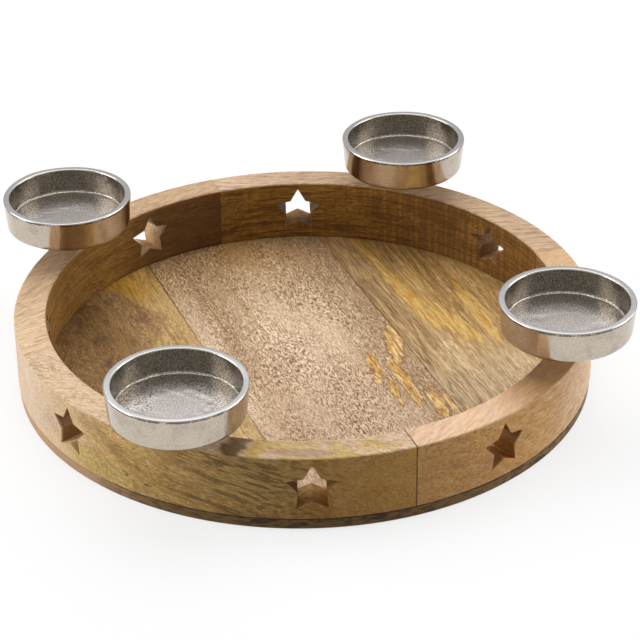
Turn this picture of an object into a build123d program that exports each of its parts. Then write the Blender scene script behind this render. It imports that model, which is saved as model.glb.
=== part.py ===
"""Advent candle holder: a round wooden tray with star cut-outs and four cast candle dishes.

The tray is a base board of three planks with a ring of four quarters glued and screwed on top of it.
Each dish stands clear above the middle of its quarter on a steel stud, and turns when it is unscrewed.
Millimetres. The origin is the centre of the tray's underside, +Z is up, the planks run along Y, and the
joints of the ring lie on the X and Y axes.
"""

from build123d import *
from math import cos, radians, sin
import os

os.makedirs("parts", exist_ok=True)

# The ring: four quarters of a wooden hoop, named by where they stand, with the bearing each starts at.
tray_radius = 175.0
ring_thickness = 19.0
ring_height = 40.0
ring_edge_round = 1.2
glue_line = 0.2
quarter_turn = 90.0
quarters = {"back_right": 0.0, "back_left": 90.0, "front_left": 180.0, "front_right": 270.0}

# The stars: two cut right through each quarter, one near either end.
star_radius = 15.7
star_notch_radius = 8.4
star_corner_round = 0.5
star_from_joint = 19.3
star_tips = 5

# The base board: three planks, tongued and grooved along Y.
board_thickness = 7.0
board_inset = 0.5
board_edge_bevel = 1.2
middle_plank_width = 118.5
middle_plank_shift = 4.75
plank_gap = 0.3
plank_edge_bevel = 0.5
tongue_thickness = 2.4
tongue_reach = 4.0
tongue_clearance = 0.15

# The dowels: two across each joint of the ring.
dowel_radius = 4.0
dowel_length = 30.0
dowel_spacing = 18.0
dowel_clearance = 0.1
dowel_end_room = 1.0

# The base screws: countersunk, from below through the planks into the ring.
screw_radius = 1.75
screw_head_radius = 3.5
screw_length = 20.0
screw_tip_length = 3.0
screw_tip_radius = 0.3
screw_sink = 0.3
screw_slot_width = 0.8
screw_slot_depth = 0.9
screw_clearance = 0.05
screw_from_joint = (9.0, 34.0)
countersink_angle = 90.0

# The dishes: shallow cast cups with a drawn-in foot and a tapped neck underneath.
seat_radius = 36.0
dish_wall = 4.0
dish_foot_taper = 1.8
dish_height = 20.3
dish_floor_thickness = 4.3
dish_above_ring = 14.8
dish_foot_round = 3.2
dish_rim_round = 0.7
seat_corner_round = 1.6
neck_radius = 5.5
neck_root_round = 2.5
neck_end_round = 0.5
# Each stud hole was drilled by hand, this many degrees off the middle of its quarter.
drilled_off = {"back_right": 0.85, "back_left": -2.4, "front_left": -0.3, "front_right": 1.2}

# The studs and washers that carry the dishes.
stud_radius = 3.0
stud_wood_depth = 24.0
stud_point_length = 4.0
stud_point_radius = 0.6
stud_end_bevel = 0.6
stud_end_room = 1.0
thread_clearance = 0.05
blind_wall = 4.0
washer_radius = 6.2
washer_thickness = 1.6
washer_clearance = 0.2

# Heights and radii that follow from those sizes.
ring_middle_radius = tray_radius - ring_thickness / 2
ring_top = board_thickness + ring_height
ring_middle_height = board_thickness + ring_height / 2
board_radius = tray_radius - board_inset
left_joint = middle_plank_shift - middle_plank_width / 2
right_joint = middle_plank_shift + middle_plank_width / 2
neck_bottom = ring_top + washer_thickness
dish_rim_radius = seat_radius + dish_wall
dish_foot_radius = dish_rim_radius - dish_foot_taper
dish_bottom = ring_top + dish_above_ring
dish_top = dish_bottom + dish_height
seat_floor = dish_bottom + dish_floor_thickness
tapped_top = seat_floor - blind_wall
tapped_radius = stud_radius + thread_clearance
upwards = (Align.CENTER, Align.CENTER, Align.MIN)


def at_bearing(radius, bearing, height=0.0):
    """The point at this radius and height, this many degrees round from +X."""
    return (radius * cos(radians(bearing)), radius * sin(radians(bearing)), height)


def outward_plane(radius, bearing, height):
    """A plane square to the radius at that bearing: its y is up and its normal points away from the centre."""
    return Plane(
        origin=at_bearing(radius, bearing, height),
        x_dir=at_bearing(1, bearing + quarter_turn),
        z_dir=at_bearing(1, bearing),
    )


def radial_plane(radius, bearing, height=0.0):
    """An upright plane through the tray's axis: its x points outwards and its y is up."""
    return Plane(
        origin=at_bearing(radius, bearing, height),
        x_dir=at_bearing(1, bearing),
        z_dir=at_bearing(1, bearing - quarter_turn),
    )


def round_edge(part, radius, height):
    """The circular edge of a turned part that lies at this radius and height."""
    circles = part.edges().filter_by(GeomType.CIRCLE)
    return circles.sort_by(lambda edge: abs(edge.radius - radius) + abs(edge.arc_center.Z - height))[0]


def star_outline():
    """Points of an upright star: its tips and notches in turn, anticlockwise from the top tip."""
    step = 180 / star_tips
    radii = [star_radius, star_notch_radius] * star_tips
    return [at_bearing(radius, quarter_turn + step * index)[:2] for index, radius in enumerate(radii)]


dish_bearings = {name: start + quarter_turn / 2 + drilled_off[name] for name, start in quarters.items()}
dish_centres = {name: at_bearing(ring_middle_radius, bearing)[:2] for name, bearing in dish_bearings.items()}
screw_bearings = [
    start + turn
    for start in quarters.values()
    for offset in screw_from_joint
    for turn in (offset, quarter_turn - offset)
]
screw_centres = [at_bearing(ring_middle_radius, bearing)[:2] for bearing in screw_bearings]

# Ring quarters: a rectangle turned through its quarter, with stars, and holes for dowels, stud and screws.
glue_turn = glue_line / radians(1) / ring_middle_radius
for name, start in quarters.items():
    with BuildPart() as ring_quarter:
        with BuildSketch(radial_plane(ring_middle_radius, start + glue_turn / 2, ring_middle_height)) as section:
            Rectangle(ring_thickness, ring_height)
            fillet(section.vertices().group_by(Axis.Z)[-1], ring_edge_round)
        revolve(axis=Axis.Z, revolution_arc=quarter_turn - glue_turn)
        for turn in (star_from_joint, quarter_turn - star_from_joint):
            with BuildSketch(outward_plane(ring_middle_radius, start + turn, ring_middle_height)) as star:
                with BuildLine():
                    Polyline(star_outline(), close=True)
                make_face()
                fillet(star.vertices(), star_corner_round)
            extrude(amount=ring_thickness, both=True, mode=Mode.SUBTRACT)
        for joint in (start, start + quarter_turn):
            with BuildSketch(radial_plane(ring_middle_radius, joint, ring_middle_height)):
                with GridLocations(0, dowel_spacing, 1, 2):
                    Circle(dowel_radius + dowel_clearance)
            extrude(amount=dowel_length / 2 + dowel_end_room, both=True, mode=Mode.SUBTRACT)
        with BuildSketch(Plane.XY.offset(ring_top)):
            with Locations(dish_centres[name]):
                Circle(stud_radius + thread_clearance)
        extrude(amount=-(stud_wood_depth + stud_end_room), mode=Mode.SUBTRACT)
        with BuildSketch(Plane.XY.offset(board_thickness)):
            with Locations(*screw_centres):
                Circle(screw_radius + screw_clearance)
        extrude(amount=screw_sink + screw_length + screw_clearance - board_thickness, mode=Mode.SUBTRACT)
    ring_quarter.part.label = f"ring_{name}"
    export_step(ring_quarter.part, f"parts/ring_{name}.step")

# Dowels: two grooveless pegs across each joint of the ring, in one group.
with BuildPart() as ring_dowels:
    for joint in quarters.values():
        with BuildSketch(radial_plane(ring_middle_radius, joint, ring_middle_height)):
            with GridLocations(0, dowel_spacing, 1, 2):
                Circle(dowel_radius)
        extrude(amount=dowel_length / 2, both=True)
ring_dowels.part.label = "ring_dowels"
export_step(ring_dowels.part, "parts/ring_dowels.step")

# Base planks: strips of one disc with a bevelled foot, from x_low to x_high, tongued to the next on the right.
tongue_bottom = board_thickness / 2 - tongue_thickness / 2
groove_thickness = tongue_thickness + 2 * tongue_clearance
groove_reach = tongue_reach + tongue_clearance
planks = {
    "left": (-tray_radius, left_joint - plank_gap / 2),
    "middle": (left_joint + plank_gap / 2, right_joint - plank_gap / 2),
    "right": (right_joint + plank_gap / 2, tray_radius),
}
for name, (x_low, x_high) in planks.items():
    with BuildPart() as plank:
        Cylinder(board_radius, board_thickness, align=upwards)
        chamfer(round_edge(plank, board_radius, 0), board_edge_bevel)
        with Locations(((x_low + x_high) / 2, 0)):
            Box(x_high - x_low, 2 * tray_radius, board_thickness, align=upwards, mode=Mode.INTERSECT)
        chamfer(plank.edges().filter_by(Axis.Y).group_by(Axis.Z)[-1], plank_edge_bevel)
        if name != "right":
            with BuildSketch(Plane.XY.offset(tongue_bottom)):
                Circle(board_radius)
                with Locations((x_high + plank_gap / 2, 0)):
                    Rectangle(2 * tongue_reach, 2 * tray_radius, mode=Mode.INTERSECT)
            extrude(amount=tongue_thickness)
        if name != "left":
            with BuildSketch(Plane.XY.offset(tongue_bottom - tongue_clearance)):
                with Locations((x_low - plank_gap / 2, 0)):
                    Rectangle(2 * groove_reach, 2 * tray_radius)
            extrude(amount=groove_thickness, mode=Mode.SUBTRACT)
        for x, y in screw_centres:
            if x_low < x < x_high:
                with Locations(Plane(origin=(x, y, 0), z_dir=(0, 0, -1))):
                    CounterSinkHole(
                        radius=screw_radius + screw_clearance,
                        counter_sink_radius=screw_head_radius + screw_sink + screw_clearance,
                        counter_sink_angle=countersink_angle,
                    )
    plank.part.label = f"base_plank_{name}"
    export_step(plank.part, f"parts/base_plank_{name}.step")

# Base screws: cone head with a cross slot, plain shank for the thread, and a pointed tip, in one group.
screw_head_height = screw_head_radius - screw_radius
screw_shank_top = screw_sink + screw_length - screw_tip_length
with BuildPart() as base_screws:
    with Locations(*[(x, y, screw_sink) for x, y in screw_centres]):
        Cone(screw_head_radius, screw_radius, screw_head_height, align=upwards)
        Cylinder(screw_radius, screw_length - screw_tip_length, align=upwards)
        Box(screw_head_radius, screw_slot_width, screw_slot_depth, align=upwards, mode=Mode.SUBTRACT)
        Box(screw_slot_width, screw_head_radius, screw_slot_depth, align=upwards, mode=Mode.SUBTRACT)
    with Locations(*[(x, y, screw_shank_top) for x, y in screw_centres]):
        Cone(screw_radius, screw_tip_radius, screw_tip_length, align=upwards)
base_screws.part.label = "base_screws"
export_step(base_screws.part, "parts/base_screws.step")

# Dishes: half a section turned about the stud's axis, from the neck's tapped hole round to the candle seat.
for name, (x, y) in dish_centres.items():
    stud_axis = Axis((x, y, 0), (0, 0, 1))
    with BuildPart() as dish:
        with BuildSketch(Plane(origin=(x, y, 0), x_dir=(1, 0, 0), z_dir=(0, -1, 0))):
            with BuildLine():
                Polyline(
                    (tapped_radius, neck_bottom),
                    (neck_radius, neck_bottom),
                    (neck_radius, dish_bottom),
                    (dish_foot_radius, dish_bottom),
                    (dish_rim_radius, dish_top),
                    (seat_radius, dish_top),
                    (seat_radius, seat_floor),
                    (0, seat_floor),
                    (0, tapped_top),
                    (tapped_radius, tapped_top),
                    close=True,
                )
            make_face()
        revolve(axis=stud_axis)
        fillet(round_edge(dish, neck_radius, neck_bottom), neck_end_round)
        fillet(round_edge(dish, neck_radius, dish_bottom), neck_root_round)
        fillet(round_edge(dish, dish_foot_radius, dish_bottom), dish_foot_round)
        fillet(round_edge(dish, seat_radius, seat_floor), seat_corner_round)
        fillet(round_edge(dish, seat_radius, dish_top), dish_rim_round)
        fillet(round_edge(dish, dish_rim_radius, dish_top), dish_rim_round)
    dish.part.label = f"dish_{name}"
    export_step(dish.part, f"parts/dish_{name}.step")

# Studs: a pointed wood thread in the ring and a machine thread in the dish's neck, both at their outer size.
stud_top = tapped_top - stud_end_room
stud_bottom = ring_top - stud_wood_depth
for name, (x, y) in dish_centres.items():
    with BuildPart() as stud:
        with Locations((x, y, stud_bottom + stud_point_length)):
            Cylinder(stud_radius, stud_top - stud_bottom - stud_point_length, align=upwards)
        chamfer(stud.edges().group_by(Axis.Z)[-1], stud_end_bevel)
        with Locations((x, y, stud_bottom)):
            Cone(stud_point_radius, stud_radius, stud_point_length, align=upwards)
    stud.part.label = f"stud_{name}"
    export_step(stud.part, f"parts/stud_{name}.step")

# Washers: flat rings between the ring's top and each dish's neck.
for name, (x, y) in dish_centres.items():
    with BuildPart() as washer:
        with Locations((x, y, ring_top)):
            Cylinder(washer_radius, washer_thickness, align=upwards)
            Cylinder(stud_radius + washer_clearance, washer_thickness, align=upwards, mode=Mode.SUBTRACT)
    washer.part.label = f"washer_{name}"
    export_step(washer.part, f"parts/washer_{name}.step")
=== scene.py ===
"""The looks of the advent candle holder: a lacquered mango-wood tray with four cast aluminium candle dishes."""

from math import cos, radians, sin

import bpy
import numpy as np
from mathutils import Matrix, Quaternion, Vector


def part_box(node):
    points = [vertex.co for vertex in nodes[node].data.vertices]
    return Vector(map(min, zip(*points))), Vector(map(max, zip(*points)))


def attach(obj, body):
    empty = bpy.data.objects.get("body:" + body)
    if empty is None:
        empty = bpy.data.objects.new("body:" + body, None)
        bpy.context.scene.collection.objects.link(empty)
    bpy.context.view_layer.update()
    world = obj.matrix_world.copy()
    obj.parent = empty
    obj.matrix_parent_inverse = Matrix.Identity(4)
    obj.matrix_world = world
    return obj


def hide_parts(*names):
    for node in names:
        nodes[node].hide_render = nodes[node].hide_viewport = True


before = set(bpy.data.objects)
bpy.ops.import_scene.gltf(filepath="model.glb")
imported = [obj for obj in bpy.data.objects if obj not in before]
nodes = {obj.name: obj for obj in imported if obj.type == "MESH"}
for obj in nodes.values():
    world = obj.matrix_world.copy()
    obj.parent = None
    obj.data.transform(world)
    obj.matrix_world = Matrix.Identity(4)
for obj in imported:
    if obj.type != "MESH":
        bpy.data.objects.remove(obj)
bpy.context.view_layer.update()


# Base planks: three boards of lacquered mango wood, tongued and grooved along Y and sawn to one disc.
# The middle one is pale and thick with curled brown flecks, and the outer two are streaked with gold and brown.
class Strand:
    """A value, colour or direction in a node tree. Arithmetic on it adds Math nodes, and node() adds any other."""

    def __init__(self, tree, output=None):
        self.tree = tree
        self.output = output

    def node(self, kind, settings={}, sockets={}, output=0):
        """Adds a node, makes its settings and ramp stops, then its sockets, and returns one of its outputs."""
        added = self.tree.nodes.new("ShaderNode" + kind)
        for name, value in settings.items():
            if name == "stops":
                stops = added.color_ramp.elements
                stops.remove(stops[1])
                stops[0].position, stops[0].color = value[0]
                for position, colour in value[1:]:
                    stops.new(position).color = colour
            else:
                setattr(added, name, value)
        for name, value in sockets.items():
            if isinstance(value, Strand):
                self.tree.links.new(value.output, added.inputs[name])
            else:
                added.inputs[name].default_value = value
        return Strand(self.tree, added.outputs[output]) if added.outputs else None

    def math(self, operation, first, second=0.0):
        return self.node("Math", {"operation": operation}, {0: first, 1: second})

    def __add__(self, other):
        return self.math("ADD", self, other)

    def __sub__(self, other):
        return self.math("SUBTRACT", self, other)

    def __rsub__(self, other):
        return self.math("SUBTRACT", other, self)

    def __mul__(self, other):
        return self.math("MULTIPLY", self, other)

    def __truediv__(self, other):
        return self.math("DIVIDE", self, other)

    def __pow__(self, other):
        return self.math("POWER", self, other)

    __radd__ = __add__
    __rmul__ = __mul__


def tone(red, green, blue):
    """A colour written as 0 to 255 on a screen, as the linear values that the nodes take."""
    return tuple((np.array([red, green, blue]) / 255) ** 2.2) + (1.0,)


def between(value, low, high):
    """0 below low, 1 above high, and a smooth rise from one to the other."""
    return value.node("MapRange", {"interpolation_type": "SMOOTHSTEP"}, {0: value, 1: low, 2: high})


def mixed(below, above, share, way="MIX"):
    """One colour laid over another by a share from 0 to 1."""
    return share.node("Mix", {"data_type": "RGBA", "blend_type": way}, {0: share, 6: below, 7: above}, 2)


def moved(vector, other, way="ADD"):
    """Two directions added, multiplied or otherwise joined, part by part."""
    return vector.node("VectorMath", {"operation": way}, {0: vector, 1: other})


def cloud(place, size, detail=2.0, seed=0.0, output=0):
    """Noise whose lumps have this size in mm along x, y and z. Output 1 is three noises as one direction."""
    squeezed = place.node("Mapping", {}, {0: place, 1: (seed, seed * 1.7, seed * 2.3), 3: [1 / s for s in size]})
    return place.node("TexNoise", {}, {"Vector": squeezed, "Scale": 1.0, "Detail": detail}, output)


def millimetres(material):
    """Empties a material's nodes and gives the place on the piece in mm."""
    material.use_nodes = True
    material.node_tree.nodes.clear()
    place = Strand(material.node_tree).node("TexCoord", {}, {}, "Object")
    return moved(place, (1000, 1000, 1000), "MULTIPLY")


def parts_of(place):
    """The x, y and z of a place, each as a value."""
    return [place.node("SeparateXYZ", {}, {0: place}, axis) for axis in range(3)]


def spread(height, depth):
    """A surface raised by a height from 0 to 1 that stands for this many mm."""
    return height.node("Bump", {}, {"Height": height, "Strength": 1.0, "Distance": depth / 1000})


def shaded(material, colour, roughness, normal, **fixed):
    """Ends a material in one shader, with what varies linked and what is the same all over set on its sockets."""
    sockets = {"Base Color": colour, "Roughness": roughness, "Normal": normal}
    sockets.update({name.replace("_", " "): value for name, value in fixed.items()})
    shader = colour.node("BsdfPrincipled", {}, sockets)
    shader.node("OutputMaterial", {}, {"Surface": shader})


def mango_wood(name, bearing, bands, fleck, fleck_share, line_share, seed,
               stain=None, finish=None, sway=12, band=17, dip=0.0):
    """Lacquered mango wood whose fibres run along this bearing, in degrees from +X.

    The place is turned so that x runs along the fibres, which go down by dip for each mm, and is swayed sideways by
    slow noise of sway mm. Each layer is noise drawn out along x: broad bands of colour, band mm wide, growth lines at
    each level that slow noise passes, narrow streaks, hair-thin fibres, short curled flecks, dark and pale, fine pores,
    and a silk of light and dark. Faces across the fibres drink more lacquer and are darker.
    A stain gives the colours of a certain place under these layers, and how plain that place is, with fewer flecks and
    lines. A finish is what the piece gets over all of them.
    """
    growth_lines = 30
    material = bpy.data.materials.new(name)
    place = millimetres(material)
    turned = place.node("Mapping", {}, {0: place, 2: (0, 0, radians(-bearing))})
    turned = moved(turned, place.node("CombineXYZ", {}, {"Z": parts_of(turned)[0] * dip}))
    aside = moved(cloud(turned, (80, 30, 30), 2, seed, 1), (0.5, 0.5, 0.5), "SUBTRACT")
    along = moved(turned, moved(aside, (0, sway, sway), "MULTIPLY"))
    curl = moved(cloud(along, (9, 5, 5), 1, seed + 1, 1), (0.5, 0.5, 0.5), "SUBTRACT")
    curled = moved(along, moved(curl, (4, 6.5, 6.5), "MULTIPLY"))
    colour = place.node("ValToRGB", {"stops": bands}, {0: cloud(along, (band * 17, band, band), 4, seed + 2)})
    crowd = between(cloud(along, (70, 24, 24), 2, seed + 6), 0.3, 0.65)
    flecked = fleck_share * (0.45 + 0.55 * crowd)
    lined = 0.6 + 0.4 * crowd
    if stain:
        colour, plain = stain(colour, place, along)
        flecked = flecked * (1 - plain)
        lined = lined * (1 - plain)
    level = cloud(along, (520, 46, 46), 1.5, seed + 3) * growth_lines
    growth = between(level.math("FRACT", level), 0.45, 1.0)
    streak = cloud(along, (90, 1.5, 1.5), 3, seed + 4)
    colour = mixed(colour, tone(96, 68, 36), (growth * 0.4 + between(streak, 0.5, 0.66)) * lined * line_share)
    hair = cloud(along, (26, 0.65, 0.65), 1, seed + 8)
    colour = mixed(colour, tone(104, 76, 44), between(hair, 0.5, 0.62) * lined * (0.15 + line_share * 0.5))
    grain = cloud(curled, (4.4, 0.62, 0.62), 1, seed + 5)
    flecks = between(grain, 0.5, 0.55)
    colour = mixed(colour, fleck, flecks * flecked)
    colour = mixed(colour, tone(240, 214, 178), (1 - between(grain, 0.38, 0.46)) * flecked * fleck_share * 0.55)
    pores = between(cloud(along, (5, 0.3, 0.3), 1, seed + 7), 0.6, 0.7)
    colour = mixed(colour, tone(70, 44, 22), pores * (0.12 + 0.4 * fleck_share))
    silk = cloud(along, (8, 1.2, 1.2), 3, seed + 9)
    colour = mixed(colour, silk, (1.1 - 0.8 * fleck_share) * lined, "OVERLAY")
    outward = place.node("TexCoord", {}, {}, "Normal")
    fibre = (cos(radians(bearing)), sin(radians(bearing)), 0)
    across = outward.node("VectorMath", {"operation": "DOT_PRODUCT"}, {0: outward, 1: fibre}, "Value")
    end_grain = between(across.math("ABSOLUTE", across), 0.6, 1.0)
    colour = mixed(colour, tone(215, 200, 185), end_grain * 0.2, "MULTIPLY")
    if finish:
        colour = finish(colour, place)
    height = 0.6 + 0.3 * streak - 0.25 * flecks - 0.5 * pores
    shaded(material, colour, 0.5 + 0.14 * streak, spread(height, 0.2), Specular_IOR_Level=0.3)
    return material


def from_axis(place):
    """How far a place lies from the tray's upright axis, in mm."""
    return place.node("VectorMath", {"operation": "LENGTH"}, {0: moved(place, (1, 1, 0), "MULTIPLY")}, "Value")


def darker_at_front(x, y):
    """1 round the front and the right, falling to 0.1 at the left and the back.

    There the board's edge is darker, and painted shade lines the seams above it.
    """
    return 1 - 0.9 * between(y - x * 0.6, -45, 25)


board_radius, board_top = 174.5, 7.0


def sawn_edge(colour, place):
    """The disc's sawn edge: grey-brown wood, paler at the left, with dark knots and bark pockets in flattened lumps.

    Painted shade lies as a dark line along its upper arris, under the ring.
    """
    x, y, z = parts_of(place)
    edge = between(from_axis(place), board_radius - 2.1, board_radius - 0.9)
    dark = edge * darker_at_front(x, y)
    rough = cloud(place, (6, 6, 1.8), 3, 2)
    colour = mixed(colour, tone(206, 164, 122), edge * 0.8)
    colour = mixed(colour, tone(124, 94, 48), dark * 0.9)
    knots = between(cloud(place, (16, 16, 5), 3, 6), 0.56, 0.66)
    colour = mixed(colour, tone(58, 40, 18), dark * (knots * 0.85 + between(rough, 0.46, 0.62) * 0.6))
    # Painted shade: a dark line along the board's upper arris, under the ring, at the front and the right.
    return mixed(colour, tone(46, 31, 17), dark * between(z + 2.4 * rough, board_top + 0.4, board_top + 1) * 0.8)


def ragged(place, size, detail, seed, strength):
    """Noise about 0 of this strength, with lumps of this size in mm along x, y and z."""
    return (cloud(place, size, detail, seed) - 0.5) * strength


def patch(x, y, shape, torn):
    """How deep a point lies in an ellipse of (x, y, half width, half length, lean): 1 at its middle, 0 at its rim.

    torn is noise about 0 that is added to the depth, so that the rim is as ragged as the wood's fibres.
    """
    middle, centre, half_width, half_length, lean = shape
    sideways = (x - middle - (y - centre) * lean) / half_width
    lengthways = (y - centre) / half_length
    return 1 - sideways * sideways - lengthways * lengthways + torn


def dark_hairs(along, seed):
    """Thin dark lines along the fibres, 0 to 1."""
    return between(cloud(along, (24, 0.75, 0.75), 1, seed), 0.5, 0.56)


def pale_plank(colour, place, along):
    """Browner and streaked towards the back and both sides, with one dark crack-like line at the left.

    At the right front lie tongues of yellow spalt with torn brown rims, orange in parts.
    """
    x, y, _ = parts_of(place)
    drift = ragged(along, (90, 26, 26), 2, 5, 70)
    colour = mixed(colour, tone(176, 132, 66), between(y + drift, 15, 165) * 0.9)
    right = between(x + drift * 0.4, 22, 58)
    left = between(drift * 0.4 - x, 8, 30) * (0.25 + 0.75 * between(x, -46, -36)) * (0.3 + 0.7 * between(y, -70, 10))
    colour = mixed(colour, tone(206, 172, 142), (1 - between(y + drift - x * 0.8, -60, 30)) * 0.6)
    colour = mixed(colour, tone(178, 144, 104), right * 0.75)
    colour = mixed(colour, tone(172, 134, 90), left * 0.65)
    colour = mixed(colour, tone(104, 76, 48), dark_hairs(along, 12) * (right * 0.6 + left * 0.35))
    crack_x = -35.5
    aside = x - crack_x + drift * 0.03
    crack = (1 - between(aside.math("ABSOLUTE", aside), 0.2, 1.1)) * between(y, 35, 70)
    colour = mixed(colour, tone(116, 80, 46), crack * 0.7)
    torn = ragged(along, (16, 2.4, 2.4), 2, 8, 3) + ragged(along, (6, 1.1, 1.1), 1, 9, 1.4)
    tongues = [(57.5, -4, 5.2, 26, 0.24), (35, -29, 4, 22, 0.18), (46.5, -49, 4.4, 32, 0.05),
               (36, -58, 2.4, 17, 0.15), (54.5, -80, 4, 19, 0.1), (62.3, -83, 2.2, 15, 0.05)]
    spalt, rim = 0.0, 0.0
    for tongue in tongues:
        deep = patch(x, y, tongue, torn)
        spalt = deep.math("MAXIMUM", between(deep, 0.1, 0.3), spalt)
        rim = deep.math("MAXIMUM", between(deep, -0.5, 0.1), rim)
    flame = mixed(tone(236, 204, 138), tone(214, 162, 80), between(cloud(along, (16, 2.6, 2.6), 2, 14), 0.42, 0.58))
    flame = mixed(flame, tone(150, 92, 38), between(cloud(along, (9, 1.3, 1.3), 2, 15), 0.49, 0.6) * 0.85)
    colour = mixed(colour, tone(122, 88, 52), rim * 0.55)
    colour = mixed(colour, flame, spalt)
    return colour, spalt * 0.5


def gold_plank(colour, place, along):
    """Grey-brown and hairy beside the joint and pale tan at the front.

    Elsewhere it is golden, with torn patches of a brighter gold, wavy brown streaks and one small knot.
    """
    x, y, _ = parts_of(place)
    torn = ragged(along, (34, 3.4, 3.4), 3, 9, 3)
    fine = ragged(along, (11, 1.6, 1.6), 2, 10, 2)
    drift = torn * 6
    near = 1 - between(x + drift, 72, 90)
    front = 1 - between(y + drift * 3, -75, 5)
    colour = mixed(colour, tone(212, 166, 90), (1 - near) * (1 - front) * 0.6)
    colour = mixed(colour, tone(230, 208, 172), front * 0.6)
    colour = mixed(colour, tone(188, 154, 112), near * (1 - 0.7 * front) * 0.6)
    pale = between(patch(x, y, (88, -22, 7, 42, 0.0), torn * 0.4), 0.0, 0.8)
    colour = mixed(colour, tone(236, 206, 156), pale * 0.75)
    brown = between(cloud(along, (44, 2.8, 2.8), 3, 17), 0.5, 0.58)
    colour = mixed(colour, tone(126, 90, 46), brown * (1 - 0.7 * pale) * (0.5 - 0.36 * front))
    gilt, scorched = 0.0, 0.0
    for leaf in ((88, 60, 6, 78, -0.05), (100, 8, 9, 38, -0.2), (121, 8, 7.5, 48, 0.07)):
        deep = patch(x, y, leaf, torn + fine)
        gilt = deep.math("MAXIMUM", between(deep, 0.1, 0.7), gilt)
        scorched = deep.math("MAXIMUM", between(deep, -0.6, 0.2), scorched)
    gold = mixed(tone(238, 198, 116), tone(214, 158, 70), between(cloud(along, (18, 2.2, 2.2), 2, 18), 0.44, 0.6))
    colour = mixed(colour, tone(136, 92, 44), scorched * 0.3)
    colour = mixed(colour, gold, gilt * 0.8)
    knot = between(patch(x, y, (112.5, 20, 2.8, 12, 0.0), torn * 0.5), 0.0, 0.8)
    colour = mixed(colour, tone(132, 92, 52), knot * 0.65)
    hairs = dark_hairs(along, 13) * (0.3 + 0.7 * between(cloud(along, (40, 7, 7), 2, 16), 0.4, 0.6))
    colour = mixed(colour, tone(96, 70, 38), hairs * (0.26 + near * 0.44) * (1 - 0.6 * gilt))
    return mixed(colour, tone(172, 126, 66), between(y + drift * 3, 60, 150) * 0.35), gilt * 0.2


def dark_plank(colour, place, along):
    """Mottled brown heart, and golden sapwood beside the joint that reaches into it in two points, the back one yellow.

    A point is a rise of 0 to 1 along y about its tip, and the sapwood's edge lies further from the joint by it.
    """
    x, y, _ = parts_of(place)
    torn = ragged(along, (22, 7, 7), 3, 4, 3)
    colour = mixed(colour, tone(124, 92, 50), (1 - between(x + torn * 12, -120, -80)) * 0.75)
    colour = mixed(colour, tone(78, 56, 30), between(cloud(along, (15, 8, 8), 3, 5), 0.5, 0.68) * 0.55)
    back, front = [1 - y.math("ABSOLUTE", y - tip) / reach for tip, reach in ((128, 46), (46, 28))]
    back, front = back.math("MAXIMUM", back, 0.0), front.math("MAXIMUM", front, 0.0)
    sapwood_x = -66
    golden = between(x - sapwood_x + 23 * back + 17 * front + 9 * (1 - between(y, -60, 0)) + torn * 3, -3, 3)
    sapwood = mixed(tone(218, 180, 118), tone(222, 188, 134), 1 - between(y + torn * 12, -100, -20))
    yellow = between(back + torn * 0.1, 0.1, 0.75) * (1 - 0.6 * between(x, -74, -56))
    sapwood = mixed(sapwood, tone(212, 160, 52), yellow)
    sapwood = mixed(sapwood, tone(140, 100, 50), between(cloud(along, (36, 2.4, 2.4), 3, 6), 0.5, 0.62) * 0.5)
    return mixed(colour, sapwood, golden * 0.85), golden * 0.2


plank_woods = {
    "left": mango_wood(
        "lacquered_mango_dark_plank", bearing=90,
        bands=[(0.3, tone(142, 104, 56)), (0.45, tone(166, 126, 74)),
               (0.58, tone(188, 146, 92)), (0.75, tone(150, 110, 64))],
        fleck=tone(96, 68, 38), fleck_share=0.5, line_share=0.25, seed=3.0,
        stain=dark_plank, finish=sawn_edge),
    "middle": mango_wood(
        "lacquered_mango_pale_plank", bearing=90,
        bands=[(0.3, tone(220, 188, 146)), (0.42, tone(240, 213, 181)),
               (0.6, tone(236, 208, 174)), (0.75, tone(212, 180, 141))],
        fleck=tone(120, 86, 54), fleck_share=0.95, line_share=0.08, seed=11.0,
        stain=pale_plank, finish=sawn_edge, sway=6),
    "right": mango_wood(
        "lacquered_mango_gold_plank", bearing=90,
        bands=[(0.3, tone(150, 112, 64)), (0.4, tone(214, 178, 120)), (0.48, tone(232, 200, 152)),
               (0.54, tone(204, 160, 92)), (0.62, tone(216, 184, 132)), (0.72, tone(148, 114, 72))],
        fleck=tone(140, 102, 58), fleck_share=0.3, line_share=0.28, seed=19.0,
        stain=gold_plank, finish=sawn_edge, sway=6, band=7),
}
for name, wood in plank_woods.items():
    nodes[f"base_plank_{name}"].data.materials[0] = wood


# Ring: four quarters of solid mango wood, butted end to end, each sawn from its own block with two stars cut through.
# The fibres run straight from end to end of a block: they show as streaks in its middle and as dots towards its ends.
outer_radius, inner_radius, ring_top = 175.0, 156.0, 47.0
# The pale tone of painted sheen, where the outer wall turns to the side.
side_sheen = tone(240, 214, 190)


def sanded(crown, figure, veined=0.4):
    """A quarter whose sanded top takes this pale tone with brown veins in it, over the figure of its own block."""
    def stain(colour, place, along):
        top = between(parts_of(place)[2], ring_top - 1.1, ring_top - 0.1)
        colour, plain = figure(mixed(colour, crown, top * 0.8), place, along, top)
        veins = between(cloud(along, (16, 1.7, 1.7), 3, 7), 0.52, 0.64)
        return mixed(colour, tone(140, 100, 60), top * veins * veined), top * 0.3 + plain
    return stain


def inner_wall(place):
    """1 on the wall inside the ring and 0 in the wood behind it."""
    return 1 - between(from_axis(place), inner_radius + 1, inner_radius + 2)


def streaked(colour, place, top, seed, share):
    """The wall inside the ring, with long level streaks of a darker brown."""
    streaks = between(cloud(place, (32, 32, 1.8), 4, seed), 0.49, 0.6)
    return mixed(colour, tone(100, 69, 30), streaks * inner_wall(place) * (1 - top) * share)


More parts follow.
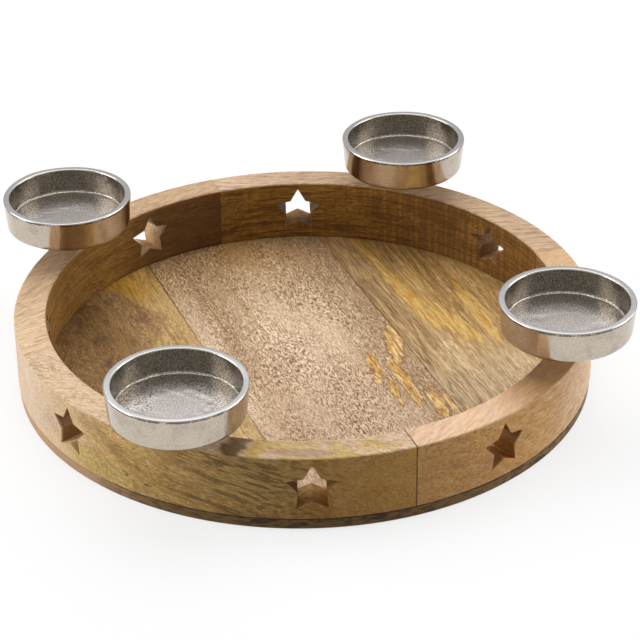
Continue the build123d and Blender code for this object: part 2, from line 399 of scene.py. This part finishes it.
def put_together(inner_shade, star_shade, star_light, spots=()):
    """A quarter in its place, with dark glue in the joints and painted shade along its foot.

    The inner wall is dimmed by a tint of painted shade. Of the walls of the stars, inside the ring's thickness,
    those that face right or down take a tint of painted shade, and the others a tint of painted light, which may
    lighten.
    A spot is a dark knot, given by the middle and the half lengths of an ellipsoid along x, y and z. The joints lie
    where x or y is 0, and the front one is the darkest. Where the ring meets the board below, painted shade darkens
    its foot at the front and the right.
    """
    lit_direction = (-0.75, 0.28, 0.6)

    def finish(colour, place):
        x, y, z = parts_of(place)
        radius = from_axis(place)
        # Painted shade: the wall inside the ring, below its top, is dimmed by a tint.
        below = 1 - between(z, ring_top - 1.6, ring_top - 0.4)
        inside = 1 - between(radius, inner_radius + 0.2, inner_radius + 1)
        colour = mixed(colour, inner_shade, inside * below, "MULTIPLY")
        # Painted light and shade on the walls of the stars: a darker tint on faces turned right or down, a lighter one
        # on the others.
        behind = between(radius, inner_radius + 1.2, inner_radius + 2)
        star = behind * (1 - between(radius, outer_radius - 1.6, outer_radius - 0.6)) * below
        outward = place.node("TexCoord", {}, {}, "Normal")
        facing = place.node("VectorMath", {"operation": "DOT_PRODUCT"}, {0: outward, 1: lit_direction}, "Value")
        colour = mixed(colour, mixed(star_shade, star_light, between(facing, -0.2, 0.6)), star, "MULTIPLY")
        rough = ragged(place, (5, 5, 5), 3, 4, 1.6)
        for spot in spots:
            deep = 1.0
            for part, middle, half in zip((x, y, z), *spot):
                deep = deep - ((part - middle) / half) ** 2
            colour = mixed(colour, tone(70, 48, 25), between(deep + rough, 0.0, 0.9) * 0.8)
        for across in (x, y):
            seam = 1 - between(across.math("ABSOLUTE", across), 0.2, 0.6)
            colour = mixed(colour, tone(50, 32, 18), seam * (0.75 - 0.68 * between(y, -20, -5)))
        # Painted shade: a ragged dark line along the ring's foot, where it meets the board, strongest at the front and
        # the right.
        foot_line_height = z + 1.2 * cloud(place, (7, 7, 3), 2, 3)
        foot_shade = 1 - between(foot_line_height, board_top + 0.6, board_top + 1.6)
        return mixed(colour, tone(50, 34, 18), foot_shade * darker_at_front(x, y) * 0.75)
    return finish


def olive_figure(colour, place, along, top):
    """Plain at the left end, where the wall turns aside and takes a pale pink painted sheen, then a yellow-olive stain
    low on the wall and long dark waves.

    Its top is yellow in places from there to the front, with one dark patch, heartwood darkened by painted shadow
    beside the front dish, one yellow and one grey.
    """
    x, y, z = parts_of(place)
    end = between(y, -108, -5)
    # Painted sheen: the left end of the wall is paler, where it turns to the side.
    colour = mixed(colour, side_sheen, end * (1 - top) * 0.8)
    torn = ragged(along, (14, 5, 5), 3, 4, 3)
    colour = mixed(colour, tone(216, 188, 96), between(patch(y, z, (-78, 16, 26, 10, 0.0), torn), 0.0, 1.0) * 0.55)
    colour = mixed(colour, tone(188, 138, 64), between(x, -148, -122) * (1 - top) * 0.35)
    waves = between(cloud(along, (34, 2.4, 2.4), 4, 6), 0.49, 0.57) * between(x, -140, -112) * (1 - between(x, -75, 0))
    colour = mixed(colour, tone(98, 70, 30), waves * (1 - top) * 0.7)
    yellow = between(cloud(along, (30, 11, 11), 3, 5), 0.42, 0.56) * between(x, -108, -94) * top
    colour = mixed(colour, tone(212, 178, 92), yellow * 0.75)
    top_patches = [((-84, -147, 6, 9, 0.6), tone(208, 172, 88)),
              ((-92.8, -137.5, 8.5, 10, 0.7), tone(96, 66, 24)),
              ((-61, -157.5, 9, 9, -1.75), tone(186, 156, 130))]
    # The dark patch is dark heartwood with painted shadow beside the front dish.
    for shape, heart in top_patches:
        colour = mixed(colour, heart, between(patch(x, y, shape, torn), -0.5, 0.7) * top * 0.9)
    front = between(x, -90, -20) * (1 - top)
    colour = mixed(colour, tone(224, 162, 78), front * 0.6)
    return streaked(colour, place, top, 5, 0.3), end * (1 - top) * 0.6 + front * 0.4


def tan_figure(colour, place, along, top):
    """Paler at the left end, with painted sheen on its wall as on the next quarter, and browner inside near the back.
    """
    x, y, _ = parts_of(place)
    end = 1 - between(y, 0, 90)
    # Painted sheen: the wall is paler at the left end, where it turns to the side.
    colour = mixed(colour, side_sheen, end * (1 - top) * 0.8)
    colour = mixed(colour, tone(120, 84, 40), between(x, -90, -45) * inner_wall(place) * (1 - top) * 0.75)
    colour = mixed(colour, tone(230, 198, 160), (1 - between(y, 20, 130)) * top * 0.75)
    return streaked(colour, place, top, 8, 0.4), end * (1 - top) * 0.6


def pink_figure(colour, place, along, top):
    """Smooth pinkish wood with the faint arcs of its growth rings, which run about a line under the board.

    Its top is brown where the right dish stands, brown wood with the dish's painted shadow, and tan from there on.
    Its wall is paler at the right end, a painted sheen where it turns aside.
    """
    x, y, z = parts_of(place)
    heart_depth, growth_step = 40, 8
    from_heart = (x * x * 0.6 + (z + heart_depth) * (z + heart_depth)) ** 0.5
    ring = from_heart / growth_step + cloud(along, (20, 8, 8), 2, 5) * 0.8
    arcs = between(ring.math("FRACT", ring), 0.5, 1.0)
    colour = mixed(colour, tone(246, 200, 148), arcs * 0.32)
    # Painted sheen: the wall is paler at the right end, where it turns to the side.
    colour = mixed(colour, tone(250, 224, 198), between(x, 70, 160) * (1 - top) * 0.7)
    # Brown wood with the right dish's painted shadow, on the top.
    colour = mixed(colour, tone(166, 120, 62), between(x, 46, 90) * top * 0.75)
    colour = mixed(colour, tone(206, 170, 130), between(y, -90, -40) * top * 0.9)
    return streaked(colour, place, top, 11, 0.4), top * 0.2


def brown_figure(colour, place, along, top):
    """Golden brown inside the ring, with the upright marks of the saw.

    It is paler outside at the right, a painted sheen where the wall turns aside, and on top at the back.
    Inside, painted shade darkens it towards the right end.
    """
    x, y, _ = parts_of(place)
    wall = inner_wall(place)
    colour = mixed(colour, tone(226, 194, 166), (1 - between(x, 10, 90)) * top * 0.6)
    # Painted sheen: paler outside at the right end, where the wall turns to the side.
    colour = mixed(colour, tone(240, 208, 174), (1 - between(y, 0, 80)) * (1 - wall) * (1 - top) * 0.6)
    # Painted shade: the inner wall darkens towards the right end.
    colour = mixed(colour, tone(128, 92, 46), between(x, 60, 135) * wall * (1 - top) * 0.75)
    upright = between(cloud(place, (2.4, 2.4, 60), 2, 6), 0.48, 0.62)
    colour = mixed(colour, tone(236, 190, 104), upright * wall * (1 - top) * 0.38)
    return streaked(colour, place, top, 14, 0.6), 0.0


ring_woods = {
    "front_left": mango_wood(
        "lacquered_mango_olive_quarter", bearing=-42, dip=0.25,
        bands=[(0.3, tone(180, 136, 72)), (0.43, tone(224, 180, 106)),
               (0.57, tone(236, 196, 124)), (0.72, tone(190, 144, 78))],
        fleck=tone(126, 90, 44), fleck_share=0.5, line_share=0.35, seed=27.0,
        stain=sanded(tone(224, 196, 170), olive_figure),
        finish=put_together(
            inner_shade=tone(198, 190, 152), star_shade=tone(176, 154, 112), star_light=tone(262, 258, 244),
            spots=[((-143.9, -99.5, 17.4), (2.2, 2.2, 1.4)), ((-135.7, -110.4, 15.4), (3.5, 3.5, 1))])),
    "front_right": mango_wood(
        "lacquered_mango_pink_quarter", bearing=38,
        bands=[(0.3, tone(200, 144, 84)), (0.5, tone(226, 170, 102)), (0.75, tone(208, 152, 90))],
        fleck=tone(176, 124, 76), fleck_share=0.1, line_share=0.12, seed=35.0,
        stain=sanded(tone(230, 196, 168), pink_figure, veined=0.15),
        finish=put_together(inner_shade=tone(150, 130, 92), star_shade=tone(162, 138, 94), star_light=tone(182, 160, 114))),
    "back_left": mango_wood(
        "lacquered_mango_tan_quarter", bearing=20,
        bands=[(0.3, tone(184, 138, 78)), (0.5, tone(220, 178, 120)), (0.75, tone(192, 146, 86))],
        fleck=tone(138, 98, 52), fleck_share=0.35, line_share=0.3, seed=43.0,
        stain=sanded(tone(192, 162, 134), tan_figure, veined=0.38),
        finish=put_together(inner_shade=tone(189, 172, 122), star_shade=tone(136, 116, 86), star_light=tone(296, 304, 340))),
    "back_right": mango_wood(
        "lacquered_mango_brown_quarter", bearing=-18,
        bands=[(0.3, tone(170, 128, 68)), (0.5, tone(210, 168, 108)), (0.75, tone(182, 138, 78))],
        fleck=tone(130, 92, 48), fleck_share=0.35, line_share=0.4, seed=51.0,
        stain=sanded(tone(202, 174, 146), brown_figure, veined=0.55),
        finish=put_together(inner_shade=tone(214, 197, 144), star_shade=tone(158, 140, 104), star_light=tone(244, 228, 200))),
}
for name, wood in ring_woods.items():
    nodes[f"ring_{name}"].data.materials[0] = wood


# Dowels: two plain beech pegs glued across each joint of the ring.
# They are out of sight, and their pale wood has the same kinds of layers as the tray's.
dowel_wood = mango_wood(
    "beech_dowel", bearing=0, bands=[(0.3, tone(196, 160, 118)), (0.7, tone(214, 180, 140))],
    fleck=tone(150, 110, 76), fleck_share=0.3, line_share=0.2, seed=59.0)
nodes["ring_dowels"].data.materials[0] = dowel_wood


# Screws, studs and washers: zinc-plated steel, bright and a little dulled by handling.
# The screws hold the planks to the ring from below, and each stud carries a dish on its washer.
def zinc_plate(name):
    """Bright zinc: cool grey with cloudy dull spots and fine turned scratches."""
    material = bpy.data.materials.new(name)
    place = millimetres(material)
    dull = cloud(place, (2.5, 2.5, 2.5), 3)
    scratch = cloud(place, (2, 2, 0.12), 2)
    colour = mixed(tone(206, 208, 210), tone(150, 150, 148), between(dull, 0.45, 0.7))
    shaded(material, colour, 0.24 + 0.2 * dull + 0.1 * scratch, spread(scratch, 0.02), Metallic=1.0)
    return material


steel = zinc_plate("zinc_plated_steel")
for node in ["base_screws"] + [f"{kind}_{name}" for kind in ("stud", "washer") for name in ring_woods]:
    nodes[node].data.materials[0] = steel


# Dishes: sand-cast aluminium cups, polished on the flat rim and brushed outside, left rough from the mould inside.
# Each is one casting with its neck, and no two came out of the sand quite alike.
def rounded(corners, step):
    """A profile through corners of (radius, height, rounding), as points this far apart with each corner an arc.

    A corner's arc starts and ends where its two sides are as far from it as rounding over tan(half the angle).
    """
    arc_points = 6
    place = np.array([corner[:2] for corner in corners])
    points = [place[0]]
    for before, here, after, rounding in zip(place, place[1:], place[2:], [corner[2] for corner in corners[1:]]):
        to_before = (before - here) / np.linalg.norm(before - here)
        to_after = (after - here) / np.linalg.norm(after - here)
        half = np.arccos(np.clip(to_before @ to_after, -1, 1)) / 2
        reach = rounding / np.tan(half)
        middle = here + (to_before + to_after) / np.linalg.norm(to_before + to_after) * rounding / np.sin(half)
        turn = np.linspace(0, 1, arc_points if rounding else 1)[:, None]
        chord = here + reach * (to_before * (1 - turn) + to_after * turn) - middle
        length = np.linalg.norm(chord, axis=1, keepdims=True)
        points += list(middle + chord * np.where(length > 0, rounding / np.maximum(length, 1e-9), 0))
    points = np.array(points + [place[-1]])
    runs = np.linalg.norm(np.diff(points, axis=0), axis=1)
    pieces = [a + (b - a) * np.linspace(0, 1, max(int(run / step), 1), endpoint=False)[:, None]
              for a, b, run in zip(points, points[1:], runs)]
    return np.vstack(pieces + [points[-1:]])


def turned_casting(name, centre, profile, inward, chance, around):
    """A profile turned about a dish's own axis, its poles closed and its skin uneven as sand leaves it.

    Point (i, j) is the profile's point i at angle j, raised along the profile's normal by the mean of many cosine waves
    of chance direction: long ones all over the cup, and short ones inside it, where inward is above 0. Near its axis it
    stays true, because the stud fits into the neck.
    """
    long_swell, short_swell = 0.13, 0.05
    true_radius, fade = 9, 6
    angle = np.linspace(0, 2 * np.pi, around, endpoint=False)
    radius, height = profile[1:-1, 0], profile[1:-1, 1]
    ahead = np.gradient(profile, axis=0)[1:-1]
    ahead /= np.linalg.norm(ahead, axis=1, keepdims=True)
    turn = np.stack([np.cos(angle), np.sin(angle), np.zeros(around)], axis=-1)
    upright = np.array([0, 0, 1])
    skin = radius[:, None, None] * turn + height[:, None, None] * upright
    outward = ahead[:, 1, None, None] * turn - ahead[:, 0, None, None] * upright

    def waves(shortest, longest, count):
        way = chance.normal(size=(3, count))
        way *= 2 * np.pi / chance.uniform(shortest, longest, count) / np.linalg.norm(way, axis=0)
        return np.cos(skin @ way + chance.uniform(0, 2 * np.pi, count)).sum(axis=-1) / np.sqrt(count)

    cup = np.clip((radius - true_radius) / fade, 0, 1)[:, None]
    inside = np.clip(inward[1:-1] / 2 + 0.5, 0, 1)[:, None]
    long_waves = long_swell * waves(shortest=26, longest=70, count=8)
    short_waves = short_swell * inside * waves(shortest=4, longest=11, count=30)
    skin += (cup * (long_waves + short_waves))[..., None] * outward
    wall = skin.reshape(-1, 3) + [*centre, 0]
    poles = [[*centre, profile[0, 1]], [*centre, profile[-1, 1]]]
    row, column = np.meshgrid(np.arange(len(radius) - 1), np.arange(around), indexing="ij")
    corner = row * around + column
    beside = row * around + (column + 1) % around
    quads = np.stack([corner, beside, beside + around, corner + around], axis=-1).reshape(-1, 4)
    ends = np.arange(around)
    last = (len(radius) - 1) * around
    first_cap = np.stack([np.full(around, len(wall)), (ends + 1) % around, ends], axis=-1)
    last_cap = np.stack([np.full(around, len(wall) + 1), last + ends, last + (ends + 1) % around], axis=-1)
    mesh = bpy.data.meshes.new(name)
    mesh.from_pydata(np.vstack([wall, poles]) / 1000, [], quads.tolist() + first_cap.tolist() + last_cap.tolist())
    mesh.shade_smooth()
    reach = mesh.attributes.new("inward", "FLOAT", "POINT")
    reach.data.foreach_set("value", np.append(np.repeat(inward[1:-1], around), inward[[0, -1]]).astype(np.float32))
    piece = bpy.data.objects.new(name, mesh)
    bpy.context.scene.collection.objects.link(piece)
    return piece


def cast_aluminium(name, wall_depth):
    """Aluminium from a sand mould: silky outside, bright on the rim, dull and pebbled on the inner wall and the floor.

    inward is how far past the rim's inner edge a point lies, in mm: down the wall first, then across the floor.
    """
    material = bpy.data.materials.new(name)
    place = millimetres(material)
    inward = place.node("Attribute", {"attribute_name": "inward"}, {}, "Fac")
    pebble = cloud(place, (0.85, 0.85, 0.85), 2, 1)
    lump = cloud(place, (9, 9, 9), 3, 3)
    wall = between(inward, -0.2, 0.5) * (1 - between(inward, wall_depth - 0.4, wall_depth + 0.6))
    floor = between(inward, wall_depth + 0.8 + pebble, wall_depth + 1.6 + pebble)
    corner = between(inward, wall_depth - 0.4, wall_depth + 0.6) * (1 - floor)
    rim = between(inward, -4.8, -4.3) * (1 - between(inward, -0.6, 0.0))
    # Painted shade: a dark broken line under the rim's outer edge, where it meets the cast wall.
    rim_edge_shade = between(inward + pebble, -5.6, -5.0) * (1 - between(inward, -4.8, -4.4))
    puddle = between(inward + 30 * (lump - 0.5), wall_depth + 17, wall_depth + 18) * floor
    dull = between(pebble, 0.46, 0.7) * 0.4 + between(lump, 0.45, 0.7) * 0.3
    colour = mixed(tone(196, 184, 169), tone(150, 139, 124), dull)
    colour = mixed(colour, mixed(tone(170, 162, 149), tone(118, 110, 98), between(pebble, 0.38, 0.64)), wall)
    colour = mixed(colour, mixed(tone(180, 174, 169), tone(94, 89, 83), between(pebble, 0.4, 0.62)), floor)
    colour = mixed(colour, tone(156, 150, 147), puddle * 0.5)
    # Painted shade: the corner between the inner wall and the floor is darkened, broken by the pebbles.
    colour = mixed(colour, tone(110, 104, 96), corner * (0.3 + 0.7 * between(pebble, 0.4, 0.55)))
    colour = mixed(colour, tone(164, 162, 161), rim)
    colour = mixed(colour, tone(70, 66, 60), rim_edge_shade * between(lump + pebble * 0.4, 0.55, 0.75) * 0.8)
    rough = 0.3 * wall + floor + 0.6 * corner
    roughness = 0.13 + 0.1 * pebble + 0.14 * rough + 0.06 * rim
    drawn = cloud(place, (4, 4, 50), 2, 7) * (1 - rim) * (1 - rough)
    height = pebble * (0.1 - 0.09 * rim + 0.9 * rough) * (1 - 0.3 * puddle) + drawn
    shaded(material, colour, roughness, spread(height, 0.12), Metallic=1.0)
    return material


bore_radius, neck_radius, foot_radius, rim_radius, seat_radius = 3.05, 5.5, 38.2, 40, 36
neck_bottom, dish_bottom, bore_top, seat_floor, dish_top = 48.6, 61.8, 62.1, 66.1, 82.1
neck_end_round, neck_root_round, foot_round, rim_round, seat_round = 0.5, 2.5, 3.2, 0.7, 1.6
dish_profile = rounded([
    (0, bore_top, 0), (bore_radius, bore_top, 0), (bore_radius, neck_bottom, 0),
    (neck_radius, neck_bottom, neck_end_round), (neck_radius, dish_bottom, neck_root_round),
    (foot_radius, dish_bottom, foot_round), (rim_radius, dish_top, rim_round), (seat_radius, dish_top, rim_round),
    (seat_radius, seat_floor, seat_round), (0, seat_floor, 0)], step=0.6)
run = np.append(0, np.cumsum(np.linalg.norm(np.diff(dish_profile, axis=0), axis=1)))
rim_inside = [seat_radius, dish_top - rim_round]
inward = run - run[np.argmin(np.linalg.norm(dish_profile - rim_inside, axis=1))]
cast = cast_aluminium("cast_aluminium", wall_depth=dish_top - rim_round - seat_floor - seat_round)
for index, name in enumerate(ring_woods):
    low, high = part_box(f"dish_{name}")
    centre = np.array((low + high) / 2)[:2] * 1000
    chance = np.random.default_rng(index)
    dish = turned_casting(f"cast_dish_{name}", centre, dish_profile, inward, chance, around=256)
    dish.data.materials.append(cast)
    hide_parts(f"dish_{name}")
    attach(dish, f"dish_{name}")


# Studio: a sheet of white paper under the tray, soft lamps above and at both sides, and a white room.
# The camera stands where the photograph was taken from, to the left of the tray's front.
def seen_light(tree, plain):
    """This strength for plain light, and 1, which is white, where the camera looks or a shiny surface mirrors."""
    looks = [Strand(tree).node("LightPath", {}, {}, f"Is {ray} Ray") for ray in ("Camera", "Glossy", "Transmission")]
    seen = looks[0].math("MAXIMUM", looks[0].math("MAXIMUM", looks[0], looks[1]), looks[2])
    return plain + (1 - plain) * seen


paper = bpy.data.materials.new("white_paper")
paper.use_nodes = True
paper.node_tree.nodes.clear()
leaf = Strand(paper.node_tree)
seen = seen_light(paper.node_tree, 0.0)
matt = leaf.node("BsdfDiffuse", {}, {"Color": mixed((0.35, 0.35, 0.35, 1), (0.9, 0.9, 0.9, 1), seen)})
white = leaf.node("Emission", {}, {"Strength": 1.0})
lit = leaf.node("MixShader", {}, {0: seen * 0.78, 1: matt, 2: white})
leaf.node("OutputMaterial", {}, {"Surface": lit})
paper_reach, paper_level, lines = 4, -0.0003, 9
across = np.linspace(-paper_reach, paper_reach, lines)
x, y = np.meshgrid(across, across, indexing="ij")
sheet = np.stack([x, y, np.full_like(x, paper_level)], axis=-1).reshape(-1, 3)
i, j = np.meshgrid(np.arange(lines - 1), np.arange(lines - 1), indexing="ij")
corner = (i * lines + j).ravel()
squares = np.stack([corner, corner + lines, corner + lines + 1, corner + 1], axis=-1)
floor_mesh = bpy.data.meshes.new("paper_floor")
floor_mesh.from_pydata(sheet, [], squares.tolist())
floor_mesh.materials.append(paper)
floor = bpy.data.objects.new("paper_floor", floor_mesh)
bpy.context.scene.collection.objects.link(floor)

room = bpy.data.worlds.new("white_room")
room.use_nodes = True
room.node_tree.nodes.clear()
air = Strand(room.node_tree).node("Background", {}, {"Strength": seen_light(room.node_tree, 0.18)})
air.node("OutputWorld", {}, {"Surface": air})
bpy.context.scene.world = room

camera_bearing = 249.66
tray_middle = Vector((0, 0, 0.03))
lamps = {
    "top_lamp": (camera_bearing + 180, 0.6, 1.7, 2.3, 35.0),
    "left_lamp": (camera_bearing - 88, 1.5, 0.45, 1.2, 23.0),
    "right_lamp": (camera_bearing + 97, 1.5, 0.5, 1.2, 17.0),
}
for name, (bearing, away, high, size, power) in lamps.items():
    lamp = bpy.data.lights.new(name, "AREA")
    lamp.size = size
    lamp.energy = power
    stand = bpy.data.objects.new(name, lamp)
    stand.location = (away * cos(radians(bearing)), away * sin(radians(bearing)), high)
    stand.rotation_euler = (tray_middle - stand.location).to_track_quat("-Z", "Y").to_euler()
    bpy.context.scene.collection.objects.link(stand)

lens = bpy.data.cameras.new("camera")
lens.lens = 130.495
lens.sensor_width = 36
camera = bpy.data.objects.new("camera", lens)
stand_at = Vector((-0.42519, -1.14710, 0.74364))
look_at = Vector((0.010606, 0.000474, 0.03))
roll = radians(-0.6516)
turn = (look_at - stand_at).to_track_quat("-Z", "Y") @ Quaternion((0, 0, 1), roll)
camera.matrix_world = Matrix.Translation(stand_at) @ turn.to_matrix().to_4x4()
bpy.context.scene.collection.objects.link(camera)
bpy.context.scene.camera = camera
bpy.context.scene.view_settings.view_transform = "Standard"
